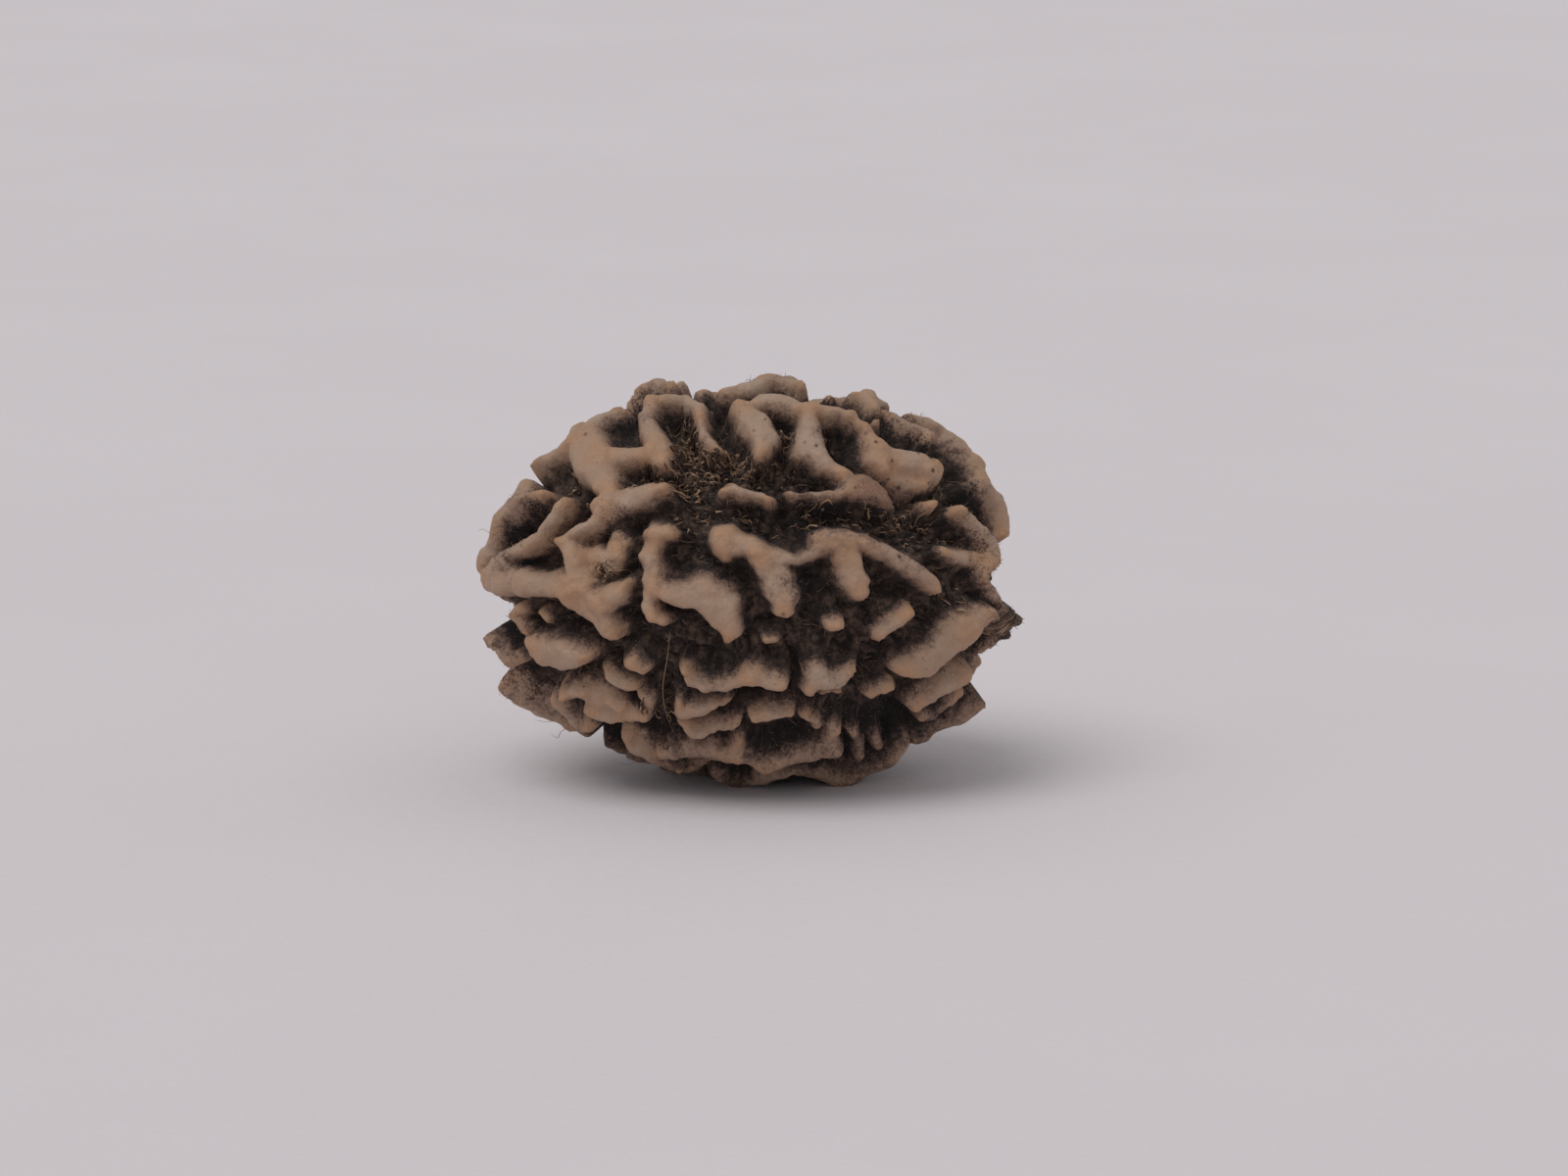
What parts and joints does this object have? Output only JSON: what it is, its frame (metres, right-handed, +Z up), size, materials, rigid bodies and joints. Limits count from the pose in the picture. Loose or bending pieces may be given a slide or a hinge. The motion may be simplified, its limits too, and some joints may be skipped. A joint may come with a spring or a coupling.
{
  "type": "rudraksha seed",
  "caption": "Oval natural seed stone with a deep net of knobbly ridges and dark furrows, lying on its side on a small flat spot.",
  "frame": {"origin": "on the surface the seed lies on, under the middle of the seed", "axes": "+X from pole to pole along the seed's length, +Z up, -Y towards the side seen in front"},
  "size_m": [0.0266, 0.02, 0.0199],
  "materials": {
    "seed_wood": "dry, matt, tan on the ridge backs and near black in the furrows"
  },
  "bodies": {
    "root": {"seed_stone": "seed_wood"}
  },
  "joints": []
}
